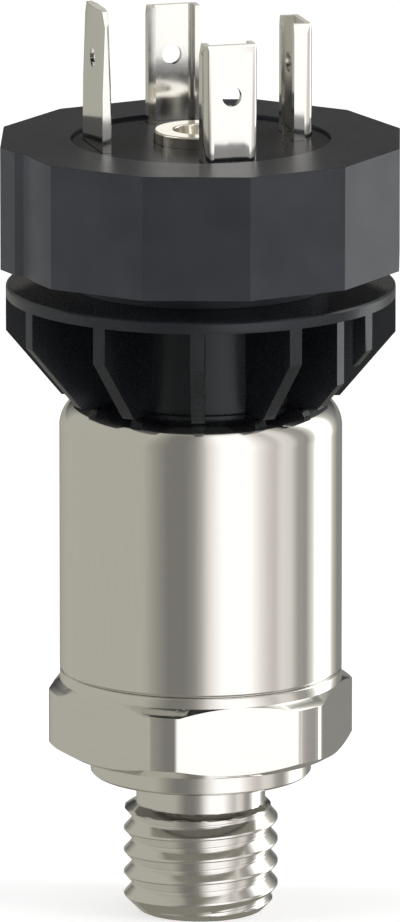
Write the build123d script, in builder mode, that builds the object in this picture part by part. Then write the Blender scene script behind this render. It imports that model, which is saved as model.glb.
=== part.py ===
"""Screw-in pressure transmitter with a blade-contact plug base on its top.

The stud points down and its sealing face lies at z = 0. Four contacts stand on the
head: one towards -Y, one towards +Y, one towards +X and the earth blade towards -X.
"""

import os
from math import asin, cos, degrees, radians, sin, tan

from build123d import *

os.makedirs("parts", exist_ok=True)

# Driving dimensions, in millimetres and degrees

# Male stud, a G 1/4 thread left here as a plain shank over its crests
thread_d = 13.157
stud_length = 12.0
stud_chamfer = 1.23
relief_depth = 1.08
relief_length = 2.6
relief_runout = 0.64

# Sealing spigot, with the recess for the port seal in its face
spigot_h = 2.0
spigot_wall = 1.05
spigot_edge = 0.2
recess_d = 16.7
recess_depth = 1.35
seal_t = 1.5
seal_gap = 0.1
seal_lip = 0.3

# Wrench hexagon with turned corners, and the ring that the can stands on
hex_af = 24.0
hex_h = 6.55
hex_corner_trim = 0.8
hex_face_inset = 0.6
hex_chamfer_angle = 30.0
seam_ring_h = 0.6
seam_edge = 0.2

# Pressure bore, from the stud's end up to the cell
bore_d = 5.0
bore_depth = 16.0
bore_mouth = 0.5
drill_point_angle = 118.0
passage_d = 2.5
chamber_depth = 0.3
chamber_wall = 0.5

# Housing can
can_d = 24.0
can_h = 23.7
can_wall = 0.7
can_shoulder_r = 2.7
can_mouth_gap = 0.17
can_edge = 0.15
can_fit = 0.03

# Sensor cell in the fitting's boss, its O-ring, and what clamps it down
floor_rise = 1.05
boss_wall = 2.17
boss_lip = 1.15
cell_h = 6.35
cell_edge = 0.3
cell_gap = 0.1
cell_notch_r = 0.8
cell_notch_count = 3
cell_ring_d = 1.1
cell_ring_inset = 2.5
cell_ring_gap = 0.45
clamp_ring_h = 1.8
clamp_ring_w = 2.2
clamp_lip_w = 1.4
clamp_lip_h = 0.6
clip_t = 1.0
clip_seat = 0.65
clip_cover = 0.8
clip_bore_shift = 0.25
clip_gap = 3.0
clip_lug_r = 1.25
clip_lug_wall = 0.5
clip_eye_d = 1.2
clip_play = 0.1

# Circuit board, its holder and what it carries
holder_gap = 0.1
holder_inset = 0.2
holder_rim_w = 1.1
holder_rim_h = 0.4
board_t = 1.2
board_gap = 0.1
board_headroom = 2.4
pin_d = 0.6
pin_gap = 0.15
pin_inset = 0.7
pin_count = 4
pin_stand = 0.5
chip_length = 5.0
chip_width = 4.0
chip_t = 1.4
chip_lift = 0.1
chip_lead_count = 4
chip_lead_pitch = 1.27
chip_lead_w = 0.4
chip_lead_t = 0.2
chip_lead_reach = 0.9
capacitor_length = 2.0
capacitor_w = 1.25
capacitor_h = 1.1
capacitor_x = 7.0
capacitor_pitch = 3.4

# Ribbed collar, with the flange that the can's shoulder holds down
flange_gap = 0.1
flange_h = 4.2
tube_d = 17.66
tube_wall = 1.23
rim_d = 33.0
rim_t = 1.0
rim_edge = 0.2
deck_rise = 8.65
knee_rise = 5.55
rib_foot_d = 23.6
rib_t = 1.15
rib_count = 12
rib_slot_w = 1.5
rib_post_w = 1.25
slotted_rib = 10
collar_bore_d = 12.0
can_ring_d = 1.5
can_ring_rise = 1.35
ring_squeeze = 0.05
groove_side = 0.15

# Turn of the collar and the head against the contacts, as they were screwed together
moulding_turn = -1.4

# Connector head, a twelve-sided plug base
head_sides = 12
head_af = 33.6
head_h = 10.55
neck_d = 22.4
neck_h = 1.9
head_spigot_length = 7.45
spigot_gap = 0.05
head_bore_d = 10.0
head_ring_d = 1.3
head_ring_drop = 3.6
head_floor_t = 1.2
notch_start = 2.6
notch_depth = 0.43
notch_flat = 0.75
notch_margin = 0.6

# Contact carrier
carrier_edge_w = 1.05
carrier_t = 5.7
carrier_recess = 0.25
carrier_gap = 0.04
carrier_ledge = 0.67
slot_gap = 0.05

# Screw insert, threaded M3 and let into the carrier
insert_flange_d = 7.94
insert_flange_t = 2.0
insert_stand = 1.0
insert_body_d = 6.4
insert_cover = 0.8
insert_gap = 0.04
insert_mouth_d = 4.6
insert_mouth_depth = 1.6
insert_thread_hole_d = 2.5
insert_floor_t = 0.6
insert_edge = 0.1

# Folded channel contacts
contact_circle_r = 9.0
third_inset = 0.6
contact_w = 4.75
contact_depth = 1.75
contact_t = 0.65
contact_fold_r = 0.2
contact_rise = 10.0
contact_hole_d = 1.7
contact_hole_drop = 4.35
tip_bevel_h = 1.0
tip_bevel_in = 0.18

# Earth contact
blade_w = 6.5
blade_t = 0.8
blade_rise = 12.0
blade_outset = 0.05
blade_hole_d = 1.65
blade_hole_drop = 4.35
blade_bevel_start = 1.5
blade_bevel_in = 0.42
blade_corner_w = 0.75
blade_corner_h = 1.3

# Solder tails and lead wires
tail_w = 1.6
tail_foot_gap = 0.5
wire_d = 1.0
wire_wall_gap = 0.3
wire_bend_r = 1.5
wire_tail_lap = 0.8

# Levels that follow from the sizes above
hex_z = spigot_h
hex_top = hex_z + hex_h
can_z = hex_top + seam_ring_h
can_top = can_z + can_h
cell_z = can_z + floor_rise
clamp_z = cell_z + cell_h
clip_groove_z = clamp_z + clamp_ring_h
clip_groove_h = clip_t + clip_play
boss_top = clip_groove_z + clip_groove_h + boss_lip
flange_top = can_top - can_wall
flange_z = flange_top - flange_h
board_z = flange_z - board_headroom - board_t
board_top = board_z + board_t
deck_z = can_top + deck_rise
deck_top = deck_z + rim_t
knee_z = can_top + knee_rise
head_z = deck_top + neck_h
head_top = head_z + head_h
head_spigot_z = deck_top - head_spigot_length
cavity_z = head_z + head_floor_t
carrier_top = head_top - carrier_recess
carrier_z = carrier_top - carrier_t
tail_z = cavity_z + tail_foot_gap
wire_end_z = tail_z + wire_tail_lap

# Radii that follow from the sizes above
relief_r = thread_d / 2 - relief_depth
spigot_r = recess_d / 2 + spigot_wall
hex_face_r = hex_af / 2 - hex_face_inset
can_r = can_d / 2
can_inner_r = can_r - can_wall
boss_r = can_inner_r - can_fit
cell_pocket_r = boss_r - boss_wall
cell_r = cell_pocket_r - cell_gap
clip_r = cell_pocket_r + clip_seat
clip_bore_r = cell_pocket_r - clip_cover
flange_r = can_inner_r - flange_gap
tube_r = tube_d / 2
can_mouth_r = tube_r + can_mouth_gap
spigot_bore_r = tube_r - tube_wall
head_spigot_r = spigot_bore_r - spigot_gap
third_circle_r = contact_circle_r - third_inset
blade_circle_r = contact_circle_r + blade_outset
carrier_r = contact_circle_r + contact_depth / 2 + carrier_edge_w
carrier_pocket_r = carrier_r + carrier_gap
cavity_r = carrier_pocket_r - carrier_ledge
wire_circle_r = head_bore_d / 2 - wire_wall_gap - wire_d / 2


def ring_groove(outer_r, ring_d, middle_z):
    """Cut a square groove that takes a ring of round section, inside a revolve sketch."""
    depth = ring_d - ring_squeeze
    with Locations((outer_r - depth / 2, middle_z)):
        Rectangle(depth, ring_d + 2 * groove_side, mode=Mode.SUBTRACT)


def ring_section(centre_r, ring_d, middle_z):
    """Round section of a rubber ring, to be turned about the main axis."""
    with BuildSketch(Plane.XZ, mode=Mode.PRIVATE) as section:
        with Locations((centre_r, middle_z)):
            Circle(ring_d / 2)
    return section.sketch


# Process fitting: hexagon, stud and the boss that holds the cell, turned from one bar
hex_corner_r = hex_af / 2 / cos(radians(30)) - hex_corner_trim
hex_chamfer_h = (hex_corner_r - hex_face_r) * tan(radians(hex_chamfer_angle))
drill_point_h = (bore_d - passage_d) / 2 / tan(radians(drill_point_angle / 2))
bore_top = bore_depth - stud_length
cell_ring_r = cell_r - cell_ring_inset
cell_groove_w = cell_ring_d + 2 * cell_ring_gap
chamber_r = cell_ring_r - cell_groove_w / 2 - chamber_wall

with BuildPart() as process_fitting:
    with BuildSketch(Plane.XY.offset(hex_z)):
        RegularPolygon(hex_af / 2, 6, major_radius=False)
    extrude(amount=hex_h)
    with BuildSketch(Plane.XZ):
        with BuildLine():
            Polyline(
                (0, hex_z),
                (hex_face_r, hex_z),
                (hex_corner_r, hex_z + hex_chamfer_h),
                (hex_corner_r, hex_top - hex_chamfer_h),
                (hex_face_r, hex_top),
                (0, hex_top),
                close=True,
            )
        make_face()
    revolve(axis=Axis.Z, mode=Mode.INTERSECT)
    with BuildSketch(Plane.XZ):
        with BuildLine():
            Polyline(
                (0, -stud_length),
                (thread_d / 2 - stud_chamfer, -stud_length),
                (thread_d / 2, -stud_length + stud_chamfer),
                (thread_d / 2, -relief_length - relief_runout),
                (relief_r, -relief_length),
                (relief_r, recess_depth),
                (recess_d / 2, recess_depth),
                (recess_d / 2, 0),
                (spigot_r - spigot_edge, 0),
                (spigot_r, spigot_edge),
                (spigot_r, hex_z),
                (hex_face_r, hex_z),
                (hex_face_r, hex_top - hex_chamfer_h),
                (can_r, hex_top - hex_chamfer_h),
                (can_r, can_z - seam_edge),
                (can_r - seam_edge, can_z),
                (boss_r, can_z),
                (boss_r, boss_top),
                (0, boss_top),
                close=True,
            )
        make_face()
    revolve(axis=Axis.Z)
    with BuildSketch(Plane.XZ):
        with BuildLine():
            Polyline(
                (0, -stud_length),
                (bore_d / 2 + bore_mouth, -stud_length),
                (bore_d / 2, -stud_length + bore_mouth),
                (bore_d / 2, bore_top),
                (passage_d / 2, bore_top + drill_point_h),
                (passage_d / 2, cell_z - chamber_depth),
                (chamber_r, cell_z - chamber_depth),
                (chamber_r, cell_z),
                (cell_pocket_r, cell_z),
                (cell_pocket_r, clip_groove_z),
                (clip_r + clip_play, clip_groove_z),
                (clip_r + clip_play, clip_groove_z + clip_groove_h),
                (cell_pocket_r, clip_groove_z + clip_groove_h),
                (cell_pocket_r, boss_top),
                (0, boss_top),
                close=True,
            )
        make_face()
        with Locations((cell_ring_r, cell_z - cell_ring_d / 2)):
            Rectangle(cell_groove_w, cell_ring_d)
    revolve(axis=Axis.Z, mode=Mode.SUBTRACT)
process_fitting.part.label = "process_fitting"
export_step(process_fitting.part, "parts/process_fitting.step")

# Port seal: a profiled rubber ring in the spigot's recess, a little proud of its face
seal_inner_r = relief_r + seal_gap
seal_outer_r = recess_d / 2 - seal_gap
seal_low = recess_depth - seal_t

with BuildPart() as port_seal:
    with BuildSketch(Plane.XZ):
        with BuildLine():
            Polyline(
                (seal_inner_r, recess_depth),
                (seal_inner_r, seal_low + seal_lip),
                (seal_inner_r + seal_lip, seal_low),
                (seal_outer_r - seal_lip, seal_low),
                (seal_outer_r, seal_low + seal_lip),
                (seal_outer_r, recess_depth),
                close=True,
            )
        make_face()
    revolve(axis=Axis.Z)
port_seal.part.label = "port_seal"
export_step(port_seal.part, "parts/port_seal.step")

# Housing can: deep-drawn cup, pierced for the collar's tube, that holds its flange down
with BuildPart() as housing_can:
    with BuildSketch(Plane.XZ):
        with BuildLine():
            Polyline(
                (can_inner_r, can_z),
                (can_r - can_edge, can_z),
                (can_r, can_z + can_edge),
                (can_r, can_top - can_shoulder_r),
            )
            RadiusArc(
                (can_r, can_top - can_shoulder_r),
                (can_r - can_shoulder_r, can_top),
                -can_shoulder_r,
            )
            Polyline(
                (can_r - can_shoulder_r, can_top),
                (0, can_top),
                (0, flange_top),
                (can_r - can_shoulder_r, flange_top),
            )
            RadiusArc(
                (can_r - can_shoulder_r, flange_top),
                (can_inner_r, can_top - can_shoulder_r),
                can_shoulder_r - can_wall,
            )
            Line((can_inner_r, can_top - can_shoulder_r), (can_inner_r, can_z))
        make_face()
        with Locations((0, can_top)):
            Rectangle(2 * can_mouth_r, 2 * can_shoulder_r, mode=Mode.SUBTRACT)
    revolve(axis=Axis.Z)
housing_can.part.label = "housing_can"
export_step(housing_can.part, "parts/housing_can.step")

# Sensor cell: ceramic disc, with locating notches down its edge
with BuildPart() as sensor_cell:
    with BuildSketch(Plane.XY.offset(cell_z)):
        Circle(cell_r)
        with PolarLocations(cell_r, cell_notch_count):
            Circle(cell_notch_r, mode=Mode.SUBTRACT)
    extrude(amount=cell_h)
    chamfer(sensor_cell.edges().group_by(Axis.Z)[-1], length=cell_edge)
sensor_cell.part.label = "sensor_cell"
export_step(sensor_cell.part, "parts/sensor_cell.step")

with BuildPart() as cell_o_ring:
    revolve(ring_section(cell_ring_r, cell_ring_d, cell_z - cell_ring_d / 2), axis=Axis.Z)
cell_o_ring.part.label = "cell_o_ring"
export_step(cell_o_ring.part, "parts/cell_o_ring.step")

# Clamp ring: plastic washer that bears on the cell's rim, relieved inside
clamp_bore_r = cell_r - clamp_ring_w
clamp_lip_r = cell_r - clamp_lip_w

with BuildPart() as clamp_ring:
    with BuildSketch(Plane.XZ):
        with BuildLine():
            Polyline(
                (clamp_lip_r, clamp_z),
                (cell_r, clamp_z),
                (cell_r, clamp_z + clamp_ring_h),
                (clamp_bore_r, clamp_z + clamp_ring_h),
                (clamp_bore_r, clamp_z + clamp_lip_h),
                (clamp_lip_r, clamp_z + clamp_lip_h),
                close=True,
            )
        make_face()
    revolve(axis=Axis.Z)
clamp_ring.part.label = "clamp_ring"
export_step(clamp_ring.part, "parts/clamp_ring.step")

# Retaining ring: spring-steel ring with two pierced lugs, sprung into the boss's groove
clip_lug_circle_r = clip_bore_r - clip_lug_r / 2
clip_lug_x = clip_gap / 2 + clip_lug_wall + clip_eye_d / 2
clip_lug_angle = degrees(asin(clip_lug_x / clip_lug_circle_r))

with BuildPart() as retaining_ring:
    with BuildSketch(Plane.XY.offset(clip_groove_z)):
        Circle(clip_r)
        with Locations((0, clip_bore_shift)):
            Circle(clip_bore_r, mode=Mode.SUBTRACT)
        for side in (-1, 1):
            lug_angle = 90 + side * clip_lug_angle
            with PolarLocations(clip_lug_circle_r, 1, start_angle=lug_angle):
                Circle(clip_lug_r)
        with Locations((0, clip_r)):
            Rectangle(clip_gap, clip_r, mode=Mode.SUBTRACT)
        for side in (-1, 1):
            lug_angle = 90 + side * clip_lug_angle
            with PolarLocations(clip_lug_circle_r, 1, start_angle=lug_angle):
                Circle(clip_eye_d / 2, mode=Mode.SUBTRACT)
    extrude(amount=clip_t)
retaining_ring.part.label = "retaining_ring"
export_step(retaining_ring.part, "parts/retaining_ring.step")

# Board holder: plastic ring on the boss, with a ledge for the circuit board
holder_bore_r = cell_pocket_r + holder_inset
holder_outer_r = can_inner_r - holder_gap
board_seat_r = holder_outer_r - holder_rim_w
board_r = board_seat_r - board_gap

with BuildPart() as board_holder:
    with BuildSketch(Plane.XZ):
        with BuildLine():
            Polyline(
                (holder_bore_r, boss_top),
                (holder_outer_r, boss_top),
                (holder_outer_r, board_top + holder_rim_h),
                (board_seat_r, board_top + holder_rim_h),
                (board_seat_r, board_z),
                (holder_bore_r, board_z),
                close=True,
            )
        make_face()
    revolve(axis=Axis.Z)
board_holder.part.label = "board_holder"
export_step(board_holder.part, "parts/board_holder.step")

# Circuit board, pierced for the cell's pins
pin_circle_r = clamp_bore_r - pin_inset
pin_start_angle = 180 / pin_count

with BuildPart() as circuit_board:
    with BuildSketch(Plane.XY.offset(board_z)):
        Circle(board_r)
        with PolarLocations(pin_circle_r, pin_count, start_angle=pin_start_angle):
            Circle(pin_d / 2 + pin_gap, mode=Mode.SUBTRACT)
    extrude(amount=board_t)
circuit_board.part.label = "circuit_board"
export_step(circuit_board.part, "parts/circuit_board.step")

with BuildPart() as cell_pins:
    with BuildSketch(Plane.XY.offset(clamp_z)):
        with PolarLocations(pin_circle_r, pin_count, start_angle=pin_start_angle):
            Circle(pin_d / 2)
    extrude(amount=board_top + pin_stand - clamp_z)
cell_pins.part.label = "cell_pins"
export_step(cell_pins.part, "parts/cell_pins.step")

# Signal chip: moulded body on gull-wing leads
chip_body_z = board_top + chip_lift
lead_exit_z = chip_body_z + chip_t / 2
chip_edge_y = chip_width / 2
lead_foot_y = chip_edge_y + chip_lead_reach
lead_knee_y = chip_edge_y + chip_lead_reach / 2

with BuildPart() as signal_chip:
    for index in range(chip_lead_count):
        lead_x = (index - (chip_lead_count - 1) / 2) * chip_lead_pitch
        with BuildSketch(Plane.YZ.offset(lead_x)):
            with BuildLine():
                Polyline(
                    (chip_edge_y - chip_lead_t, lead_exit_z),
                    (lead_knee_y, lead_exit_z),
                    (lead_knee_y, board_top + chip_lead_t),
                    (lead_foot_y, board_top + chip_lead_t),
                    (lead_foot_y, board_top),
                    (lead_knee_y - chip_lead_t, board_top),
                    (lead_knee_y - chip_lead_t, lead_exit_z - chip_lead_t),
                    (chip_edge_y - chip_lead_t, lead_exit_z - chip_lead_t),
                    close=True,
                )
            make_face()
            mirror(about=Plane.YZ)
        extrude(amount=chip_lead_w / 2, both=True)
    with BuildSketch(Plane.XY.offset(chip_body_z)):
        Rectangle(chip_length, chip_width)
    extrude(amount=chip_t)
signal_chip.part.label = "signal_chip"
export_step(signal_chip.part, "parts/signal_chip.step")

with BuildPart() as board_capacitors:
    with BuildSketch(Plane.XY.offset(board_top)):
        with Locations((capacitor_x, 0), (-capacitor_x, 0)):
            with GridLocations(0, capacitor_pitch, 1, 2):
                Rectangle(capacitor_length, capacitor_w)
    extrude(amount=capacitor_h)
board_capacitors.part.label = "board_capacitors"
export_step(board_capacitors.part, "parts/board_capacitors.step")

# Ribbed collar: ribs first, cut to their outline by a revolved profile, then the core.
# One rib is slotted from its foot up to the rim, which leaves a post at its outer edge.
rib_start_angle = 180 / rib_count + moulding_turn
rib_length = (rim_d - collar_bore_d) / 2
rib_middle_r = (rim_d + collar_bore_d) / 4
rib_slot_angle = rib_start_angle + slotted_rib * 360 / rib_count
rib_slot_r = rim_d / 2 - rib_post_w - rib_slot_w / 2
spigot_step_z = head_spigot_z - spigot_gap
can_ring_z = flange_z + can_ring_rise
flange_corner_r = can_shoulder_r - can_wall - flange_gap

with BuildPart() as ribbed_collar:
    with BuildSketch(Plane.XY.offset(can_top)):
        with PolarLocations(rib_middle_r, rib_count, start_angle=rib_start_angle):
            Rectangle(rib_length + rib_t, rib_t)
    extrude(amount=deck_rise)
    with BuildSketch(Plane.XZ):
        with BuildLine():
            Polyline(
                (spigot_bore_r, can_top),
                (rib_foot_d / 2, can_top),
                (rim_d / 2, knee_z),
                (rim_d / 2, deck_z),
                (spigot_bore_r, deck_z),
                close=True,
            )
        make_face()
    revolve(axis=Axis.Z, mode=Mode.INTERSECT)
    with BuildSketch(Plane.XY.offset(can_top)):
        with PolarLocations(rib_slot_r, 1, start_angle=rib_slot_angle):
            Rectangle(rib_slot_w, 2 * rib_t)
    extrude(amount=deck_rise, mode=Mode.SUBTRACT)
    with BuildSketch(Plane.XZ):
        with BuildLine():
            Polyline(
                (collar_bore_d / 2, flange_z),
                (flange_r, flange_z),
                (flange_r, flange_top - flange_corner_r),
            )
            RadiusArc(
                (flange_r, flange_top - flange_corner_r),
                (flange_r - flange_corner_r, flange_top),
                -flange_corner_r,
            )
            Polyline(
                (flange_r - flange_corner_r, flange_top),
                (collar_bore_d / 2, flange_top),
                (collar_bore_d / 2, flange_z),
            )
        make_face()
        with BuildLine():
            Polyline(
                (collar_bore_d / 2, flange_z),
                (tube_r, flange_z),
                (tube_r, deck_z),
                (rim_d / 2, deck_z),
                (rim_d / 2, deck_top - rim_edge),
                (rim_d / 2 - rim_edge, deck_top),
                (spigot_bore_r, deck_top),
                (spigot_bore_r, spigot_step_z),
                (collar_bore_d / 2, spigot_step_z),
                close=True,
            )
        make_face()
        ring_groove(flange_r, can_ring_d, can_ring_z)
    revolve(axis=Axis.Z)
ribbed_collar.part.label = "ribbed_collar"
export_step(ribbed_collar.part, "parts/ribbed_collar.step")

with BuildPart() as can_o_ring:
    revolve(ring_section(can_inner_r - can_ring_d / 2, can_ring_d, can_ring_z), axis=Axis.Z)
can_o_ring.part.label = "can_o_ring"
export_step(can_o_ring.part, "parts/can_o_ring.step")

# Connector head: hollow twelve-sided body on a round neck, with a spigot in the collar
head_ring_z = deck_top - head_ring_drop
head_corner_r = head_af / 2 / cos(radians(180 / head_sides))
facet_start = Vector(-head_corner_r, 0).rotate(Axis.Z, moulding_turn)
facet_end = facet_start.rotate(Axis.Z, 360 / head_sides)
facet_along = (facet_end - facet_start).normalized()
facet_inward = facet_along.rotate(Axis.Z, 90)
notch_end = (facet_end - facet_start).length - notch_margin
notch_slope = tan(radians(360 / head_sides))


def on_facet(along, inward):
    """Point by the notched facet: so far from its -X corner, so deep into the head."""
    return facet_start + facet_along * along + facet_inward * inward


with BuildPart() as connector_head:
    with BuildSketch(Plane.XY.offset(head_z)):
        RegularPolygon(
            head_af / 2, head_sides, major_radius=False, rotation=moulding_turn
        )
        with BuildLine():
            Polyline(
                on_facet(notch_end, 0),
                on_facet(notch_end, -notch_depth),
                on_facet(notch_start - notch_depth / notch_slope, -notch_depth),
                on_facet(notch_start + notch_depth / notch_slope, notch_depth),
                on_facet(notch_start + notch_depth / notch_slope + notch_flat, notch_depth),
            )
            TangentArc(
                on_facet(notch_end, 0),
                on_facet(notch_start + notch_depth / notch_slope + notch_flat, notch_depth),
                tangent=-facet_along,
            )
        make_face(mode=Mode.SUBTRACT)
    extrude(amount=head_h)
    with BuildSketch(Plane.XZ):
        with BuildLine():
            Polyline(
                (0, head_spigot_z),
                (head_spigot_r, head_spigot_z),
                (head_spigot_r, deck_top),
                (neck_d / 2, deck_top),
                (neck_d / 2, head_z + head_floor_t),
                (0, head_z + head_floor_t),
                close=True,
            )
        make_face()
        ring_groove(head_spigot_r, head_ring_d, head_ring_z)
    revolve(axis=Axis.Z)
    with BuildSketch(Plane.XZ):
        with BuildLine():
            Polyline(
                (0, head_spigot_z),
                (head_bore_d / 2, head_spigot_z),
                (head_bore_d / 2, cavity_z),
                (cavity_r, cavity_z),
                (cavity_r, carrier_z),
                (carrier_pocket_r, carrier_z),
                (carrier_pocket_r, head_top),
                (0, head_top),
                close=True,
            )
        make_face()
    revolve(axis=Axis.Z, mode=Mode.SUBTRACT)
connector_head.part.label = "connector_head"
export_step(connector_head.part, "parts/connector_head.step")

with BuildPart() as head_o_ring:
    revolve(ring_section(spigot_bore_r - head_ring_d / 2, head_ring_d, head_ring_z), axis=Axis.Z)
head_o_ring.part.label = "head_o_ring"
export_step(head_o_ring.part, "parts/head_o_ring.step")


def contact_plane(angle, level):
    """Flat plane at a level, with its Y axis pointing outwards along the angle."""
    return Plane(
        origin=(0, 0, level),
        x_dir=(sin(radians(angle)), -cos(radians(angle)), 0),
        z_dir=(0, 0, 1),
    )


def channel_section(circle_r, gap):
    """Section of a folded contact, web outwards, drawn a gap larger all round."""
    web = contact_t + 2 * gap
    outer_y = circle_r + contact_depth / 2 + gap
    inner_y = circle_r - contact_depth / 2 - gap
    with BuildSketch(mode=Mode.PRIVATE) as hollow:
        with Locations((0, inner_y)):
            Rectangle(
                contact_w + 2 * gap - 2 * web,
                outer_y - inner_y - web,
                align=(Align.CENTER, Align.MIN),
            )
        fillet(hollow.vertices().group_by(Axis.Y)[-1], contact_fold_r)
    with BuildSketch(mode=Mode.PRIVATE) as section:
        with Locations((0, inner_y)):
            Rectangle(
                contact_w + 2 * gap,
                outer_y - inner_y,
                align=(Align.CENTER, Align.MIN),
            )
        fillet(section.vertices().group_by(Axis.Y)[-1], contact_fold_r + contact_t + gap)
        add(hollow.sketch, mode=Mode.SUBTRACT)
    return section.sketch


channel_contacts = {
    "contact_1": (-90, contact_circle_r),
    "contact_2": (90, contact_circle_r),
    "contact_3": (0, third_circle_r),
}
blade_angle = 180

# Contact carrier: round insulator with a slot for each contact
insert_seat_z = carrier_top + insert_stand - insert_flange_t
insert_foot_z = carrier_z + insert_cover
slot_sections = [
    (contact_plane(angle, carrier_z), channel_section(circle_r, slot_gap))
    for angle, circle_r in channel_contacts.values()
]

with BuildPart() as contact_carrier:
    with BuildSketch(Plane.XY.offset(carrier_z)):
        Circle(carrier_r)
    extrude(amount=carrier_t)
    with BuildSketch(Plane.XZ):
        with BuildLine():
            Polyline(
                (0, insert_foot_z - insert_gap),
                (insert_body_d / 2 + insert_gap, insert_foot_z - insert_gap),
                (insert_body_d / 2 + insert_gap, insert_seat_z),
                (insert_flange_d / 2 + insert_gap, insert_seat_z),
                (insert_flange_d / 2 + insert_gap, carrier_top),
                (0, carrier_top),
                close=True,
            )
        make_face()
    revolve(axis=Axis.Z, mode=Mode.SUBTRACT)
    for slot_plane, slot_section in slot_sections:
        with BuildSketch(slot_plane):
            add(slot_section)
        extrude(amount=carrier_t, mode=Mode.SUBTRACT)
    with BuildSketch(contact_plane(blade_angle, carrier_z)):
        with Locations((0, blade_circle_r)):
            Rectangle(blade_w + 2 * slot_gap, blade_t + 2 * slot_gap)
    extrude(amount=carrier_t, mode=Mode.SUBTRACT)
contact_carrier.part.label = "contact_carrier"
export_step(contact_carrier.part, "parts/contact_carrier.step")

# Screw insert: plated bush, bored blind so that the head stays sealed
insert_top = carrier_top + insert_stand

with BuildPart() as screw_insert:
    with BuildSketch(Plane.XZ):
        with BuildLine():
            Polyline(
                (0, insert_foot_z),
                (insert_body_d / 2, insert_foot_z),
                (insert_body_d / 2, insert_seat_z),
                (insert_flange_d / 2, insert_seat_z),
                (insert_flange_d / 2, insert_top - insert_edge),
                (insert_flange_d / 2 - insert_edge, insert_top),
                (insert_mouth_d / 2 + insert_edge, insert_top),
                (insert_mouth_d / 2, insert_top - insert_edge),
                (insert_mouth_d / 2, insert_top - insert_mouth_depth),
                (insert_thread_hole_d / 2, insert_top - insert_mouth_depth),
                (insert_thread_hole_d / 2, insert_foot_z + insert_floor_t),
                (0, insert_foot_z + insert_floor_t),
                close=True,
            )
        make_face()
    revolve(axis=Axis.Z)
screw_insert.part.label = "screw_insert"
export_step(screw_insert.part, "parts/screw_insert.step")


def cut_bevel(frame, point, outward, rise, inset):
    """Trim the part by a plane that leans in by an inset over a rise, above a point."""
    lean = Vector(*outward) * rise + Vector(0, 0, inset)
    low = frame.from_local_coords(Vector(*point))
    normal = frame.from_local_coords(Vector(*point) + lean) - low
    split(bisect_by=Plane(origin=low, z_dir=normal), keep=Keep.BOTTOM)


def tail_section(angle, inner_r, thickness):
    """Section of the narrow tab under the carrier, where a lead wire is soldered on."""
    plane = contact_plane(angle, tail_z)
    with BuildSketch(plane, mode=Mode.PRIVATE) as section:
        with Locations((0, inner_r + thickness / 2)):
            Rectangle(tail_w, thickness)
    return section.sketch


# Channel contacts: sheet folded to a channel, web outwards, bevelled at the tip
contact_top = carrier_top + contact_rise
tail_length = carrier_z - tail_z
for name, (angle, circle_r) in channel_contacts.items():
    outer_r = circle_r + contact_depth / 2
    bevel_z = contact_rise - tip_bevel_h
    hole_point = (0, outer_r, contact_rise - contact_hole_drop)
    frame = contact_plane(angle, carrier_top)
    radial = Vector(cos(radians(angle)), sin(radians(angle)), 0)
    section = channel_section(circle_r, 0)
    tail = tail_section(angle, outer_r - contact_t, contact_t)
    with BuildPart() as channel_contact:
        with BuildSketch(contact_plane(angle, carrier_z)):
            add(section)
        extrude(amount=contact_top - carrier_z)
        with BuildSketch(Plane(frame.from_local_coords(Vector(*hole_point)), z_dir=radial)):
            Circle(contact_hole_d / 2)
        extrude(amount=-2 * contact_t, mode=Mode.SUBTRACT)
        cut_bevel(frame, (0, outer_r, bevel_z), (0, 1, 0), tip_bevel_h, tip_bevel_in)
        for side in (-1, 1):
            flank = (side * contact_w / 2, circle_r, bevel_z)
            cut_bevel(frame, flank, (side, 0, 0), tip_bevel_h, tip_bevel_in)
        extrude(tail, amount=tail_length)
    channel_contact.part.label = name
    export_step(channel_contact.part, f"parts/{name}.step")

# Earth contact: flat blade, bevelled along two opposite edges and at the tip's corners
blade_top = carrier_top + blade_rise
blade_half_w = blade_w / 2
blade_half_t = blade_t / 2

blade_frame = contact_plane(blade_angle, carrier_top)
blade_radial = Vector(cos(radians(blade_angle)), sin(radians(blade_angle)), 0)
blade_hole = blade_frame.from_local_coords(
    Vector(0, blade_circle_r + blade_half_t, blade_rise - blade_hole_drop)
)
blade_tail = tail_section(blade_angle, blade_circle_r - blade_half_t, blade_t)

with BuildPart() as earth_contact:
    with BuildSketch(contact_plane(blade_angle, carrier_z)):
        with Locations((0, blade_circle_r)):
            Rectangle(blade_w, blade_t)
    extrude(amount=blade_top - carrier_z)
    with BuildSketch(Plane(blade_hole, z_dir=blade_radial)):
        Circle(blade_hole_d / 2)
    extrude(amount=-blade_t, mode=Mode.SUBTRACT)
    for side in (-1, 1):
        cut_bevel(
            blade_frame,
            (side * blade_half_w, blade_circle_r, blade_rise - blade_corner_h),
            (side, 0, 0),
            blade_corner_h,
            blade_corner_w,
        )
        cut_bevel(
            blade_frame,
            (side * blade_half_w, blade_circle_r + side * blade_half_t,
             blade_bevel_start),
            (side, side, 0),
            blade_rise - blade_bevel_start,
            blade_bevel_in,
        )
    extrude(blade_tail, amount=tail_length)
earth_contact.part.label = "earth_contact"
export_step(earth_contact.part, "parts/earth_contact.step")

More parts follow.
